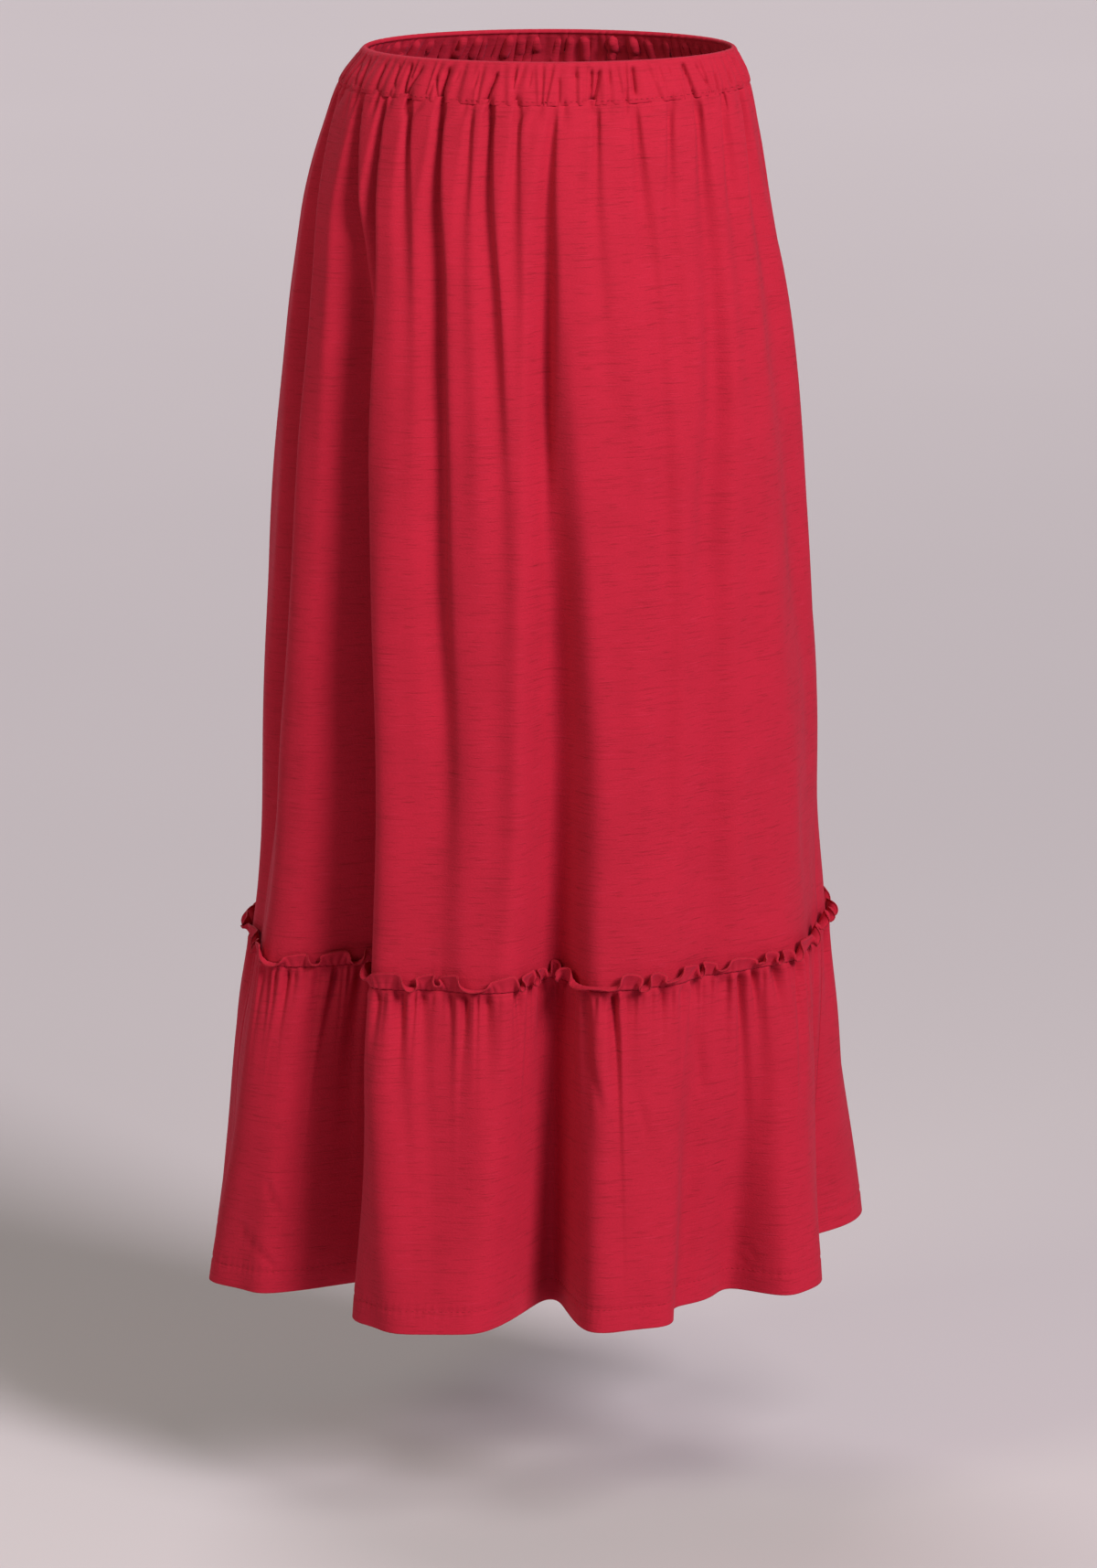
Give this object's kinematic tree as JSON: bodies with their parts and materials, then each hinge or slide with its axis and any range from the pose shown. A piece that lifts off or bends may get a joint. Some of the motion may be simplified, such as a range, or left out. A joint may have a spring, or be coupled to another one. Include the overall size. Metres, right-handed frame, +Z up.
{
  "type": "midi skirt",
  "caption": "Pull-on midi skirt in worn form: gathered elastic casing, long flared panels, a frilled seam and a gathered bottom tier with a turned hem, open at waist and hem.",
  "frame": {"origin": "Centre of the waist opening, at the top edge of the casing, where the wearer's waist holds the skirt.", "axes": "+Z up, the skirt hangs down along -Z. The front faces -Y and +X is to the right as seen from the front."},
  "size_m": [0.4719, 0.3932, 0.8775],
  "materials": {
    "casing_jersey": "crimson slub cotton jersey gathered over elastic",
    "panel_jersey": "crimson slub cotton jersey, matt with a soft sheen at grazing angles",
    "tier_jersey": "crimson slub cotton jersey with a turned and twin-stitched hem",
    "frill_jersey": "crimson slub cotton jersey with an overlocked wavy edge"
  },
  "bodies": {
    "root": {"waistband": "casing_jersey", "front_panel": "panel_jersey", "back_panel": "panel_jersey", "tier_front": "tier_jersey", "tier_back": "tier_jersey", "seam_frill": "frill_jersey"}
  },
  "joints": []
}
